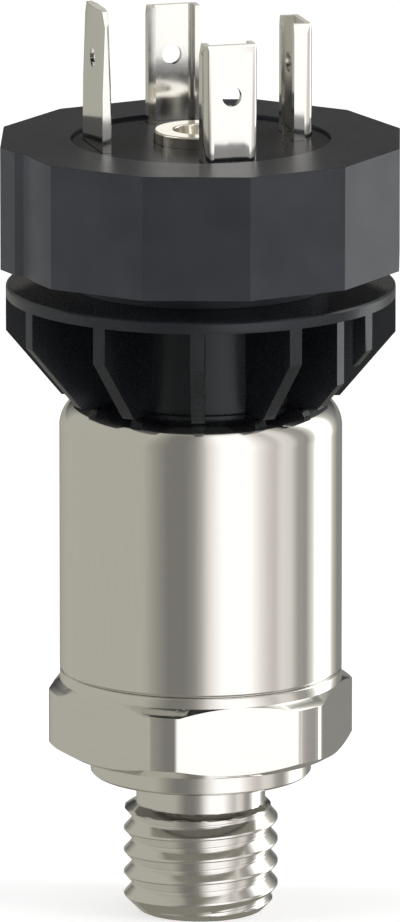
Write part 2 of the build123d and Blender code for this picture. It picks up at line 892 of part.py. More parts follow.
# Lead wires: straight up from the board, then out to the contacts' tails
wire_ends = {
    "lead_wire_1": (-90, contact_circle_r + contact_depth / 2 - contact_t),
    "lead_wire_2": (90, contact_circle_r + contact_depth / 2 - contact_t),
    "lead_wire_3": (0, third_circle_r + contact_depth / 2 - contact_t),
    "lead_wire_earth": (blade_angle, blade_circle_r - blade_half_t),
}
for name, (angle, end_r) in wire_ends.items():
    outward = Vector(cos(radians(angle)), sin(radians(angle)), 0)
    foot = outward * wire_circle_r + Vector(0, 0, board_top)
    corner = outward * wire_circle_r + Vector(0, 0, wire_end_z)
    end = outward * end_r + Vector(0, 0, wire_end_z)
    with BuildPart() as lead_wire:
        with BuildLine():
            FilletPolyline(foot, corner, end, radius=wire_bend_r)
        with BuildSketch(Plane(foot, z_dir=(0, 0, 1))):
            Circle(wire_d / 2)
        sweep()
    lead_wire.part.label = name
    export_step(lead_wire.part, f"parts/{name}.step")
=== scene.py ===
# %% [markdown]
# # A screw-in pressure transmitter
# The real part is a steel stud and hexagon, a drawn steel can, a ribbed black collar and a
# twelve-sided black plug base with four bright contacts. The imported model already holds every
# piece at its real size. This lesson loads it, lights it like a studio product shot, and then
# gives each piece the edges, the thread and the finish that the solids leave plain.

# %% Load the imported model
from math import cos, hypot, pi, radians, sin

import bmesh
import bpy
from mathutils import Matrix, Vector


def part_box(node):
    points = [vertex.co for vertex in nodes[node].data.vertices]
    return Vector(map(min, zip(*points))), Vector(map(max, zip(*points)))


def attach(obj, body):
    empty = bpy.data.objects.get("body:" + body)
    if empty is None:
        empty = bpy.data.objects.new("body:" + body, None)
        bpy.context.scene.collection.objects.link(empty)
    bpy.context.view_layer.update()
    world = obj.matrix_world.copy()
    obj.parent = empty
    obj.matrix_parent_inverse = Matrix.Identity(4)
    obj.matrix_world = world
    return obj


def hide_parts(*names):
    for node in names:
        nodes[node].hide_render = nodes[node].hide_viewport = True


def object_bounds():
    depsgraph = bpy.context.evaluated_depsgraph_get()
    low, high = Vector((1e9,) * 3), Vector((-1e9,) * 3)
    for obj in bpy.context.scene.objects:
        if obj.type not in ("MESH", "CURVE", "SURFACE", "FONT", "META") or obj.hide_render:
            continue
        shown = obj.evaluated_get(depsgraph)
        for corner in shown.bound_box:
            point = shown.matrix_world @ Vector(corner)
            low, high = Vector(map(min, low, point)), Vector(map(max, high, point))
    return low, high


MM = 0.001


def in_millimetres(box):
    """A box's two corners, rounded for printing."""
    return [[round(value / MM, 2) for value in corner] for corner in box]


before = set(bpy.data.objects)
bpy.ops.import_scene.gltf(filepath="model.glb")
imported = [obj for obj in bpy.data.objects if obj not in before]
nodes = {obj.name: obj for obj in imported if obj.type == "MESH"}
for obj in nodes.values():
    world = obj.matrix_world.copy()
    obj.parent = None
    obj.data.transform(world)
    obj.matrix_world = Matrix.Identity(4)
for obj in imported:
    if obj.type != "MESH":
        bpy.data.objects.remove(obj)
cad_box = [list(corner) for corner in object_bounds()]
print("pieces in the packed model:", len(nodes))
print("box in mm:", in_millimetres(cad_box))

# %% [markdown]
# The camera comes first, because every comparison depends on it. The photograph looks slightly
# down from far away, so a long lens stands more than a metre off. The place of the camera is
# worked out from two angles and a distance, which is easier to adjust than three coordinates.

# %% Place the camera
def from_angles(azimuth, elevation):
    """The direction towards a point so far round from the front and so far up."""
    return Vector((
        cos(elevation) * sin(azimuth),
        -cos(elevation) * cos(azimuth),
        sin(elevation),
    ))


camera_azimuth = radians(-15.3)
camera_elevation = radians(12.714)
camera_distance = 1.165
camera_target = Vector((0, 0, 0.027))
camera_lens = 536.2
camera_shift_x = -0.0008
camera_shift_y = -0.0004
towards_camera = from_angles(camera_azimuth, camera_elevation)
camera_data = bpy.data.cameras.new("camera")
camera_data.lens = camera_lens
camera_data.shift_x = camera_shift_x
camera_data.shift_y = camera_shift_y
camera = bpy.data.objects.new("camera", camera_data)
camera.location = camera_target + towards_camera * camera_distance
camera.rotation_euler = towards_camera.to_track_quat("Z", "Y").to_euler()
bpy.context.scene.collection.objects.link(camera)
bpy.context.scene.camera = camera
bpy.context.scene.view_settings.view_transform = "Standard"
print("camera at", [round(value, 3) for value in camera.location])

# %% [markdown]
# Every finish is a small network of nodes, so a few helpers keep each one short. A finish starts
# from the Principled shader, and its fine detail comes from noise on the piece's own Object
# coordinates, which stay put when the piece is seen from another side.

# %% Helpers for finishes
def new_material(name):
    """A material, its node tree and its Principled shader."""
    material = bpy.data.materials.new(name)
    material.use_nodes = True
    tree = material.node_tree
    return material, tree, tree.nodes["Principled BSDF"]


def add_node(tree, kind, **inputs):
    """A node with some of its inputs set by name, with spaces written as underscores."""
    node = tree.nodes.new(kind)
    for name, value in inputs.items():
        node.inputs[name.replace("_", " ")].default_value = value
    return node


def object_coordinates(tree, stretch=(1, 1, 1)):
    """The output of a Mapping node on Object coordinates."""
    coordinates = tree.nodes.new("ShaderNodeTexCoord")
    mapping = add_node(tree, "ShaderNodeMapping", Scale=stretch)
    tree.links.new(coordinates.outputs["Object"], mapping.inputs["Vector"])
    return mapping.outputs["Vector"]


def noise(tree, vector, scale, detail=3.0, roughness=0.5):
    """A noise texture's value on a vector."""
    node = add_node(tree, "ShaderNodeTexNoise", Scale=scale, Detail=detail, Roughness=roughness)
    tree.links.new(vector, node.inputs["Vector"])
    return node.outputs["Fac"]


def ramp(tree, value, stops):
    """A colour ramp over a value, from rising pairs of position and colour."""
    node = tree.nodes.new("ShaderNodeValToRGB")
    elements = node.color_ramp.elements
    while len(elements) < len(stops):
        elements.new(0.5)
    for element, (position, colour) in zip(elements, stops):
        element.position = position
        element.color = (*colour, 1)
    tree.links.new(value, node.inputs["Fac"])
    return node.outputs["Color"]


def bump(tree, shader, height, depth):
    """Bump of a real depth in metres, fed by a value from 0 to 1."""
    node = add_node(tree, "ShaderNodeBump", Strength=1.0, Distance=depth)
    tree.links.new(height, node.inputs["Height"])
    tree.links.new(node.outputs["Normal"], shader.inputs["Normal"])


def even_grey(value):
    """A grey of one value, for a ramp that gives a number."""
    return (value, value, value)


def product(tree, one, two):
    """One value times another, which may be a plain number."""
    node = tree.nodes.new("ShaderNodeMath")
    node.operation = "MULTIPLY"
    tree.links.new(one, node.inputs[0])
    if isinstance(two, (int, float)):
        node.inputs[1].default_value = two
    else:
        tree.links.new(two, node.inputs[1])
    return node.outputs[0]


def mix_shaders(tree, factor, one, two):
    """A Mix Shader node that goes from one shader node towards two."""
    node = tree.nodes.new("ShaderNodeMixShader")
    tree.links.new(factor, node.inputs[0])
    tree.links.new(one.outputs[0], node.inputs[1])
    tree.links.new(two.outputs[0], node.inputs[2])
    return node


black = even_grey(0)
white = even_grey(1)
print("helpers are ready for finishes and for the room")

# %% [markdown]
# Bright metal shows little of itself and much of the room. The photograph's metal shows a warm
# grey side on the left, a dark band to the left of the lens, a wide white panel to its right and
# a second one further round. The world holds that room as a ring of colours, by degrees round
# from the lens. Higher up the ring is dark behind the part, but for a small pale card that shows
# in flat tops, and a grey ceiling and a darker floor close the room. Only reflections see it. All
# other light is plain and soft, and the lens itself sees a white backdrop.

# %% List the colours of the room
warm_grey = (0.43, 0.42, 0.36)
dark_panel = (0.195, 0.19, 0.17)
white_panel = (1.15, 1.13, 1.10)
cool_grey = (0.25, 0.245, 0.225)
back_card = (0.78, 0.75, 0.66)
back_shade = (0.05, 0.05, 0.055)
ceiling = (0.33, 0.32, 0.27)
underside = (0.23, 0.22, 0.18)
room_colours = [
    (-180, (0.28, 0.27, 0.24)),
    (-152, (0.41, 0.40, 0.345)),
    (-141, warm_grey),
    (-48, warm_grey),
    (-36, (0.29, 0.28, 0.24)),
    (-27, dark_panel),
    (-13, dark_panel),
    (-5, (0.27, 0.26, 0.235)),
    (1, (0.46, 0.44, 0.40)),
    (6, (0.76, 0.73, 0.68)),
    (12, (0.98, 0.95, 0.92)),
    (18, white_panel),
    (41, white_panel),
    (50, (0.85, 0.82, 0.77)),
    (57, (0.66, 0.62, 0.57)),
    (63, (0.56, 0.53, 0.49)),
    (70, (0.76, 0.73, 0.68)),
    (79, (0.70, 0.67, 0.61)),
    (86, (0.37, 0.35, 0.32)),
    (96, (0.30, 0.29, 0.27)),
    (105, (0.80, 0.78, 0.71)),
    (112, (2.1, 2.07, 2.0)),
    (128, (1.6, 1.58, 1.52)),
    (137, (0.56, 0.55, 0.48)),
    (148, cool_grey),
]
back_from = 150
back_full = 164
full_turn = 360
room_strength = 2.5
lens_direction = camera_azimuth - pi / 2
print("stops in the room's ring:", len(room_colours))

# %% [markdown]
# A few helpers turn such lists into nodes. The ring is a ramp over the compass, which goes from 0
# to 1 once round and has its middle at the lens. Heights are the upward part of a direction, from
# -1 straight down to 1 straight up. Every colour of the room is dimmed by the room's strength, to
# stay between 0 and 1 in its ramp, and the background's strength brings it back.

# %% Helpers for the room
mix_first_colour = 6
mix_second_colour = 7
mix_colour_result = 2


def with_back(colour_of_back):
    """The ring's stops with another colour straight behind the part."""
    sides = [stop for stop in room_colours if abs(stop[0]) < back_from]
    left_end = [(-full_turn / 2, colour_of_back), (-back_full, colour_of_back)]
    right_end = [(back_full, colour_of_back), (full_turn / 2, colour_of_back)]
    return left_end + sides + right_end


def room_stop(angle, colour):
    """A stop of the ring, whose middle faces the lens, dimmed for the room's strength."""
    return ((angle + full_turn / 2) / full_turn, [value / room_strength for value in colour])


def mix_colours(factor, one, two):
    """A Mix node's colour in the world, from one towards two."""
    node = sky.nodes.new("ShaderNodeMix")
    node.data_type = "RGBA"
    sky.links.new(factor, node.inputs["Factor"])
    sky.links.new(one, node.inputs[mix_first_colour])
    sky.links.new(two, node.inputs[mix_second_colour])
    return node.outputs[mix_colour_result]


def room_ring(stops):
    """A ring of colours round the part."""
    return ramp(sky, compass, [room_stop(*stop) for stop in stops])


def above(low, high):
    """A value that goes from 0 to 1 between two heights."""
    return ramp(sky, height, [(low, black), (high, white)])


def plain_colour(colour, strength=room_strength):
    """A colour of the world, dimmed for the strength of its background."""
    node = sky.nodes.new("ShaderNodeRGB")
    node.outputs[0].default_value = (*[value / strength for value in colour], 1)
    return node.outputs[0]


world = bpy.data.worlds.new("studio")
world.use_nodes = True
bpy.context.scene.world = world
sky = world.node_tree
sky.nodes.clear()
direction = sky.nodes.new("ShaderNodeTexCoord").outputs["Generated"]
facing = add_node(sky, "ShaderNodeMapping", Rotation=(0, 0, -lens_direction))
sky.links.new(direction, facing.inputs["Vector"])
radial = sky.nodes.new("ShaderNodeTexGradient")
radial.gradient_type = "RADIAL"
sky.links.new(facing.outputs["Vector"], radial.inputs["Vector"])
compass = radial.outputs["Fac"]
parts = sky.nodes.new("ShaderNodeSeparateXYZ")
sky.links.new(direction, parts.inputs["Vector"])
height = parts.outputs["Z"]
print("the world knows its compass and its heights")

# %% [markdown]
# The room is put together from below. The walls turn dark far below, they get the shade behind
# the part just above its feet, then comes the pale card, and last the ceiling.

# %% Build the room that the metal reflects
card_sides = [(0, white), (0.009, white), (0.014, black),
              (0.986, black), (0.991, white), (1, white)]
card_height = [(0.165, black), (0.18, white), (0.215, white), (0.23, black)]
depth_of_underside = [(0.45, black), (0.62, white)]
height_of_shade = (0.0, 0.07)
height_of_ceiling = (0.80, 0.92)
in_card = product(sky, ramp(sky, compass, card_sides), ramp(sky, height, card_height))
far_below = ramp(sky, product(sky, height, -1), depth_of_underside)
low_walls = mix_colours(far_below, room_ring(room_colours), plain_colour(underside))
walls = mix_colours(above(*height_of_shade), low_walls, room_ring(with_back(back_shade)))
carded = mix_colours(in_card, walls, plain_colour(back_card))
room = mix_colours(above(*height_of_ceiling), carded, plain_colour(ceiling))
reflected = add_node(sky, "ShaderNodeBackground", Strength=room_strength)
sky.links.new(room, reflected.inputs["Color"])
print("the room is", room_strength, "times as bright as its ramps hold")

# %% [markdown]
# Matt surfaces need no room. They get plain light that is brighter from both sides than from the
# front, so that the facets of the black head differ, and that is dim from above.

# %% Add the plain light and the backdrop
side_light = even_grey(1.15)
front_light = even_grey(0.35)
back_light = even_grey(0.70)
top_light = (0.42, 0.42, 0.43)
height_of_top_light = (0.3, 1.0)
plain_sides = [
    (0.0, back_light),
    (0.25, side_light),
    (0.42, front_light),
    (0.58, front_light),
    (0.75, side_light),
    (1.0, back_light),
]
plain_room = mix_colours(above(*height_of_top_light), ramp(sky, compass, plain_sides),
                         plain_colour(top_light, 1))
plain_light = sky.nodes.new("ShaderNodeBackground")
sky.links.new(plain_room, plain_light.inputs["Color"])
white_backdrop = add_node(sky, "ShaderNodeBackground", Color=(1, 1, 1, 1), Strength=1.0)
ray = sky.nodes.new("ShaderNodeLightPath")
lit = mix_shaders(sky, ray.outputs["Is Camera Ray"], plain_light, white_backdrop)
seen = mix_shaders(sky, ray.outputs["Is Glossy Ray"], lit, reflected)
sky.links.new(seen.outputs[0], sky.nodes.new("ShaderNodeOutputWorld").inputs["Surface"])
print("nodes in the world:", len(sky.nodes))

# %% [markdown]
# The floor is one large plane under the stud. It is a pale matt sheet that takes the soft shadow,
# and it lets reflections through, because the metal's upright faces look down at it and would
# otherwise show nothing but paper. For the lens alone it glows a little, so that it comes close to
# the backdrop's white.

# %% Lay the floor
floor_size = 4.0
paper_colour = (0.96, 0.96, 0.955, 1)
paper_glow = 0.36
floor_mesh = bmesh.new()
bmesh.ops.create_grid(floor_mesh, x_segments=1, y_segments=1, size=floor_size)
bmesh.ops.translate(floor_mesh, verts=floor_mesh.verts, vec=(0, 0, cad_box[0][2]))
floor_data = bpy.data.meshes.new("floor")
floor_mesh.to_mesh(floor_data)
floor_mesh.free()
floor = bpy.data.objects.new("floor", floor_data)
bpy.context.scene.collection.objects.link(floor)
paper, paper_tree, paper_shader = new_material("pale_floor")
paper_shader.inputs["Base Color"].default_value = paper_colour
paper_shader.inputs["Roughness"].default_value = 1.0
paper_shader.inputs["Specular IOR Level"].default_value = 0.0
paper_ray = paper_tree.nodes.new("ShaderNodeLightPath")
paper_lift = product(paper_tree, paper_ray.outputs["Is Camera Ray"], paper_glow)
paper_tree.links.new(paper_lift, paper_shader.inputs["Emission Strength"])
paper_shader.inputs["Emission Color"].default_value = (1, 1, 1, 1)
paper_clear = paper_tree.nodes.new("ShaderNodeBsdfTransparent")
paper_mix = mix_shaders(
    paper_tree, paper_ray.outputs["Is Glossy Ray"], paper_shader, paper_clear
)
paper_output = paper_tree.nodes["Material Output"]
paper_tree.links.new(paper_mix.outputs[0], paper_output.inputs["Surface"])
floor_data.materials.append(paper)
print("the floor lies at", round(cad_box[0][2] / MM, 2), "mm")

# %% [markdown]
# Two large square lamps help the black facets on either side. They stand a little above the part
# and are left out of reflections, which have the room.

# %% Hang the lamps
lamp_elevation = radians(6)
lamp_distance = 0.9
lamp_size = 0.5
lamp_watts = 7.0


def soft_lamp(name, azimuth):
    """A square lamp that looks at the part from so far round."""
    away = from_angles(azimuth, lamp_elevation)
    data = bpy.data.lights.new(name, "AREA")
    data.size = lamp_size
    data.energy = lamp_watts
    lamp = bpy.data.objects.new(name, data)
    lamp.location = camera_target + away * lamp_distance
    lamp.rotation_euler = away.to_track_quat("Z", "Y").to_euler()
    lamp.visible_glossy = False
    bpy.context.scene.collection.objects.link(lamp)
    print(name, "stands at", [round(value, 2) for value in lamp.location])


soft_lamp("right_lamp", radians(60))
soft_lamp("left_lamp", radians(-98))

# %% [markdown]
# The black parts are three mouldings. The head and the collar are glass-filled plastic with a
# fine even grain, and the carrier is a little smoother and mirrors less. Grain this fine is far
# below a tenth of a millimetre, so it is bump and a slight change of gloss, not geometry. The
# board holder inside is natural plastic of the same kind.

# %% Make the moulded plastics
plastic_mirror_tint = (0.85, 0.93, 1.0, 1)
cloud_size = 4 * MM
cloud_change = 0.14
grain_gloss_change = 0.05
noise_low = 0.3
noise_high = 0.7


def between(tree, value, low, high):
    """A ramp from a low to a high colour over the middle range of a noise."""
    return ramp(tree, value, [(noise_low, low), (noise_high, high)])


def moulded_plastic(name, colour, gloss, grain_size, grain_depth, shine=0.5):
    """Moulded plastic with an even grain and faint cloudy changes of shade."""
    material, tree, shader = new_material(name)
    shader.inputs["Specular IOR Level"].default_value = shine
    shader.inputs["Specular Tint"].default_value = plastic_mirror_tint
    place = object_coordinates(tree)
    cloud = noise(tree, place, 1 / cloud_size, 2.0)
    darker = [value * (1 - cloud_change) for value in colour]
    lighter = [value * (1 + cloud_change) for value in colour]
    tree.links.new(between(tree, cloud, darker, lighter), shader.inputs["Base Color"])
    grain = noise(tree, place, 1 / grain_size, 4.0, 0.6)
    low = even_grey(gloss - grain_gloss_change)
    high = even_grey(gloss + grain_gloss_change)
    tree.links.new(between(tree, grain, low, high), shader.inputs["Roughness"])
    bump(tree, shader, grain, grain_depth)
    return material


head_plastic = moulded_plastic("head_plastic_black", (0.030, 0.0315, 0.038), 0.34,
                               0.16 * MM, 0.005 * MM, 0.35)
collar_plastic = moulded_plastic("collar_plastic_black", (0.013, 0.014, 0.0175), 0.27,
                                 0.12 * MM, 0.001 * MM, 0.5)
carrier_plastic = moulded_plastic("carrier_plastic_black", (0.015, 0.0155, 0.019), 0.27,
                                  0.12 * MM, 0.0006 * MM, 0.04)
holder_plastic = moulded_plastic("holder_plastic_natural", (0.62, 0.58, 0.48), 0.45,
                                 0.3 * MM, 0.004 * MM)
print("plastics made: head, collar, carrier and holder")

# %% [markdown]
# The stud and hexagon are turned from stainless bar, so very fine rings run round them. Noise
# that is squeezed along the axis and stretched across it gives such rings. The can is drawn and
# polished, with only the faintest lengthwise streaks, and the contacts are plated sheet.

# %% Make the metals
streak_shade = 0.97


def bright_metal(name, colour, gloss, stretch, streak_depth, change=0.02):
    """Bright metal with fine streaks along the directions that are stretched least."""
    material, tree, shader = new_material(name)
    shader.inputs["Metallic"].default_value = 1.0
    place = object_coordinates(tree, stretch)
    streaks = noise(tree, place, 1.0, 5.0, 0.65)
    darker = [value * streak_shade for value in colour]
    tree.links.new(between(tree, streaks, darker, colour), shader.inputs["Base Color"])
    low = even_grey(gloss - change)
    high = even_grey(gloss + change)
    tree.links.new(between(tree, streaks, low, high), shader.inputs["Roughness"])
    bump(tree, shader, streaks, streak_depth)
    return material


ring_stretch = (60, 60, 9000)
even_stretch = (1500, 1500, 1500)
lengthwise_stretch = (4000, 4000, 120)
steel_colour = (0.93, 0.92, 0.91)
stainless_bar = bright_metal("stainless_bar_turned", steel_colour, 0.12, ring_stretch,
                             0.0004 * MM)
stainless_tube = bright_metal("stainless_tube_drawn", steel_colour, 0.09,
                              lengthwise_stretch, 0.00015 * MM)
contact_plating = bright_metal("contact_plating_tin", (0.93, 0.92, 0.90), 0.11,
                               even_stretch, 0.0004 * MM, 0.02)
insert_plating = bright_metal("insert_plating_nickel", (0.93, 0.90, 0.83), 0.12,
                              even_stretch, 0.0006 * MM, 0.03)
spring_steel = bright_metal("spring_steel_oiled", (0.32, 0.31, 0.30), 0.30,
                            even_stretch, 0.001 * MM, 0.05)
print("metals made: bar, tube, contact plating, insert plating and spring steel")

# %% [markdown]
# What is shut inside is seen only when the part is taken apart, but it gets its own finish too:
# white ceramic, green laminate, black rubber, a moulded chip, tan capacitors and wire sleeves. The
# grey port seal under the hexagon is made here as well.

# %% Make the finishes of the inner pieces
pattern_low = 0.35
pattern_high = 0.65


def matt_material(name, colour, other, gloss, scale, depth):
    """A non-metal surface that wanders between two colours, with bump of the same noise."""
    material, tree, shader = new_material(name)
    pattern = noise(tree, object_coordinates(tree), scale, 4.0, 0.6)
    shade = ramp(tree, pattern, [(pattern_low, colour), (pattern_high, other)])
    tree.links.new(shade, shader.inputs["Base Color"])
    shader.inputs["Roughness"].default_value = gloss
    bump(tree, shader, pattern, depth)
    return material


seal_rubber = matt_material("seal_rubber_grey", (0.20, 0.195, 0.16),
                            (0.25, 0.24, 0.20), 0.55, 3000, 0.006 * MM)
ring_rubber = matt_material("ring_rubber_black", (0.010, 0.010, 0.010),
                            (0.016, 0.016, 0.016), 0.50, 3500, 0.004 * MM)
ceramic = matt_material("ceramic_white", (0.80, 0.79, 0.75), (0.86, 0.85, 0.82), 0.35,
                        2500, 0.003 * MM)
board_laminate = matt_material("board_laminate_green", (0.02, 0.12, 0.05),
                               (0.03, 0.16, 0.07), 0.35, 1200, 0.005 * MM)
chip_body = matt_material("chip_body_moulded", (0.018, 0.018, 0.020),
                          (0.028, 0.028, 0.030), 0.60, 5000, 0.006 * MM)
capacitor_ceramic = matt_material("capacitor_ceramic_tan", (0.45, 0.33, 0.20),
                                  (0.52, 0.39, 0.25), 0.40, 3000, 0.004 * MM)
wire_sleeve = matt_material("wire_sleeve_grey", (0.22, 0.22, 0.23), (0.27, 0.27, 0.28), 0.40,
                            1500, 0.004 * MM)
finishes = {
    "stainless_bar": stainless_bar,
    "stainless_tube": stainless_tube,
    "seal_rubber": seal_rubber,
    "ceramic": ceramic,
    "ring_rubber": ring_rubber,
    "holder_plastic": holder_plastic,
    "spring_steel": spring_steel,
    "board_laminate": board_laminate,
    "contact_plating": contact_plating,
    "chip_body": chip_body,
    "capacitor_ceramic": capacitor_ceramic,
    "collar_plastic": collar_plastic,
    "head_plastic": head_plastic,
    "carrier_plastic": carrier_plastic,
    "insert_plating": insert_plating,
    "wire_sleeve": wire_sleeve,
}
print("finishes made:", len(finishes))

# %% [markdown]
# Each solid has one slot, which names the finish it takes. All of them are dressed now, and those
# that get a finer mesh further down pass their slot on to it.

# %% Dress the solids
slot_of_node = {}
for name, node in nodes.items():
    slot_of_node[name] = node.material_slots[0].name
    for material_slot in node.material_slots:
        material_slot.material = finishes[slot_of_node[name]]
print("finishes in use:", sorted(set(slot_of_node.values())))

# %% [markdown]
# A real edge is never perfectly sharp: a bright line runs along it because it is rounded by a
# tenth of a millimetre or less. Where a solid's shape is right, the quickest way to such edges is
# a merged copy of it. Its flat faces are joined again, its sharp edges bevelled, and the copy
# stands in for the solid.

# %% Helpers for new pieces
sharp_angle = radians(28)
flat_angle = radians(0.5)
same_point = 0.0005 * MM


def mark_sharp_edges(mesh, angle):
    """Shade smooth everywhere but across edges sharper than an angle."""
    for face in mesh.faces:
        face.smooth = True
    for edge in mesh.edges:
        edge.smooth = len(edge.link_faces) == 2 and edge.calc_face_angle(0) < angle


def put_piece(mesh, name, node, angle=radians(35)):
    """Write a finished mesh as a piece that stands for a solid and takes its finish."""
    mark_sharp_edges(mesh, angle)
    data = bpy.data.meshes.new(name)
    mesh.to_mesh(data)
    triangles = sum(len(face.verts) - 2 for face in mesh.faces)
    mesh.free()
    piece = bpy.data.objects.new(name, data)
    bpy.context.scene.collection.objects.link(piece)
    data.materials.append(finishes[slot_of_node[node]])
    flatten = piece.modifiers.new("flat_faces_stay_flat", "WEIGHTED_NORMAL")
    flatten.keep_sharp = True
    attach(piece, "root")
    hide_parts(node)
    print(f"{name}: {triangles} triangles")


def merged_copy(node):
    """A solid's mesh with its loose triangles joined and its flat faces made whole."""
    mesh = bmesh.new()
    mesh.from_mesh(nodes[node].data)
    bmesh.ops.remove_doubles(mesh, verts=mesh.verts, dist=same_point)
    bmesh.ops.dissolve_limit(
        mesh, angle_limit=flat_angle, verts=mesh.verts, edges=mesh.edges, delimit={"NORMAL"}
    )
    return mesh


def soften_edges(mesh, width, chosen=None):
    """Round a mesh's sharp edges, or the chosen ones of them, in two steps."""
    edges = [
        edge for edge in mesh.edges
        if edge.is_manifold and edge.calc_face_angle(0) > sharp_angle
        and (chosen is None or chosen(edge))
    ]
    bmesh.ops.bevel(
        mesh, geom=edges, offset=width, offset_type="OFFSET", affect="EDGES",
        segments=2, profile=0.5, material=-1, clamp_overlap=True,
    )


def all_parts(mesh):
    """Every vertex, edge and face of a mesh, as the cutting operators want them."""
    return mesh.verts[:] + mesh.edges[:] + mesh.faces[:]


def cut_off(mesh, point, outward):
    """Cut away all that lies beyond a plane, and return the edges along the cut."""
    cut = bmesh.ops.bisect_plane(
        mesh, geom=all_parts(mesh), plane_co=point, plane_no=outward, clear_outer=True
    )
    return [item for item in cut["geom_cut"] if isinstance(item, bmesh.types.BMEdge)]


def turned(outline, steps):
    """A solid of revolution about Z from a closed outline of radius and height in mm."""
    mesh = bmesh.new()
    verts = [mesh.verts.new((radius * MM, 0, level * MM)) for radius, level in outline]
    edges = [mesh.edges.new((one, two)) for one, two in zip(verts, verts[1:] + verts[:1])]
    bmesh.ops.spin(
        mesh, geom=verts + edges, cent=(0, 0, 0), axis=(0, 0, 1), angle=2 * pi,
        steps=steps, use_merge=True,
    )
    bmesh.ops.remove_doubles(mesh, verts=mesh.verts, dist=same_point)
    bmesh.ops.recalc_face_normals(mesh, faces=mesh.faces)
    return mesh


def arc(centre, radius, start, end, count):
    """Points of an arc in an outline, by angle in degrees from the outward direction."""
    points = []
    for index in range(count + 1):
        angle = radians(start + (end - start) * index / count)
        points.append((centre[0] + radius * cos(angle), centre[1] + radius * sin(angle)))
    return points


print("helpers are ready for new pieces")

# %% [markdown]
# The can is a deep-drawn cup with a rolled shoulder. It reflects like a mirror, so facets would
# show at once. A spun outline with a finely divided shoulder gives clean reflections.

# %% Spin the housing can
can_low, can_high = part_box("housing_can")
can_r = can_high.x / MM
can_z = can_low.z / MM
can_top = can_high.z / MM
can_wall = 0.7
can_shoulder_r = 2.7
can_mouth_r = 9.0
can_edge = 0.15
can_steps = 256
outer_shoulder_steps = 24
inner_shoulder_steps = 12
shoulder_centre = (can_r - can_shoulder_r, can_top - can_shoulder_r)
can_outline = [
    (can_r - can_wall, can_z),
    (can_r - can_edge, can_z),
    (can_r, can_z + can_edge),
    (can_r, can_z + 2 * can_edge),
]
can_outline += arc(shoulder_centre, can_shoulder_r, 0, 90, outer_shoulder_steps)
can_outline += [
    (can_mouth_r + can_edge, can_top),
    (can_mouth_r, can_top - can_edge),
    (can_mouth_r, can_top - can_wall),
]
can_outline += arc(shoulder_centre, can_shoulder_r - can_wall, 90, 0, inner_shoulder_steps)
put_piece(turned(can_outline, can_steps), "drawn_can", "housing_can", radians(60))

# %% [markdown]
# The stud's thread is a screw surface. Spin with a rise for each step takes one tooth's outline
# once round, and copies of that turn are stacked, so that the turns meet and are merged. The two
# ends are cut off level. Then each point outside the end chamfer or the relief neck is drawn in to
# that cone, as the lathe would have left it.

# %% Turn the thread
thread_r = 6.5785
thread_root_r = 5.83
thread_pitch = 1.925
crest_land = 0.12
root_land = 0.10
flank_parts = 10
front_crest_z = -4.55
thread_steps = 144
stud_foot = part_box("process_fitting")[0].z / MM
stud_chamfer = 1.23
relief_r = 5.4985
relief_z = -2.6
relief_runout = 0.64
neck_cut_z = -1.9
neck_gap = 0.1
thread_cut_z = neck_cut_z - neck_gap
same_turn = 0.002 * MM
bore_r = 2.5
bore_mouth = 0.5
rim_level_error = 0.02
rim_radius_error = 0.05


def stud_envelope(level):
    """Largest radius of the stud at a level, between its end chamfer and its relief cone."""
    end_cone = thread_r - stud_chamfer + (level - stud_foot)
    relief_slope = (thread_r - relief_r) / relief_runout
    relief_cone = relief_r + max(0, relief_z - level) * relief_slope
    return min(thread_r, end_cone, relief_cone)


def thread_tooth():
    """Outline of one tooth over one pitch, from root to root, as radius and height."""
    half = thread_pitch / 2
    rising = [
        (thread_root_r, 0),
        (thread_root_r, root_land / 2),
    ]
    for index in range(1, flank_parts + 1):
        share = index / flank_parts
        rising.append((
            thread_root_r + (thread_r - thread_root_r) * share,
            root_land / 2 + (half - root_land / 2 - crest_land / 2) * share,
        ))
    falling = [(radius, thread_pitch - level) for radius, level in reversed(rising)]
    return rising + falling


def turn_thread():
    """The stud's screw surface, with its level ends left open."""
    start_z = front_crest_z - thread_pitch / 2
    while start_z > stud_foot - thread_pitch:
        start_z -= thread_pitch
    mesh = bmesh.new()
    verts = [
        mesh.verts.new((radius * MM, 0, (start_z + level) * MM))
        for radius, level in thread_tooth()
    ]
    edges = [mesh.edges.new(pair) for pair in zip(verts, verts[1:])]
    bmesh.ops.rotate(
        mesh, verts=verts, cent=(0, 0, 0), matrix=Matrix.Rotation(lens_direction, 3, "Z")
    )
    bmesh.ops.spin(
        mesh, geom=verts + edges, cent=(0, 0, 0), axis=(0, 0, 1), angle=2 * pi,
        dvec=(0, 0, thread_pitch * MM / thread_steps), steps=thread_steps,
    )
    one_turn = all_parts(mesh)
    turns = int((thread_cut_z - start_z) / thread_pitch) + 1
    for turn in range(1, turns + 1):
        copied = bmesh.ops.duplicate(mesh, geom=one_turn)["geom"]
        moved = [item for item in copied if isinstance(item, bmesh.types.BMVert)]
        bmesh.ops.translate(mesh, verts=moved, vec=(0, 0, turn * thread_pitch * MM))
    bmesh.ops.remove_doubles(mesh, verts=mesh.verts, dist=same_turn)
    cut_off(mesh, (0, 0, thread_cut_z * MM), (0, 0, 1))
    cut_off(mesh, (0, 0, stud_foot * MM), (0, 0, -1))
    for vert in mesh.verts:
        radius = hypot(vert.co.x, vert.co.y)
        limit = stud_envelope(vert.co.z / MM) * MM
        if radius > limit:
            vert.co.x *= limit / radius
            vert.co.y *= limit / radius
    print("turns of thread made:", turns + 1)
    return mesh


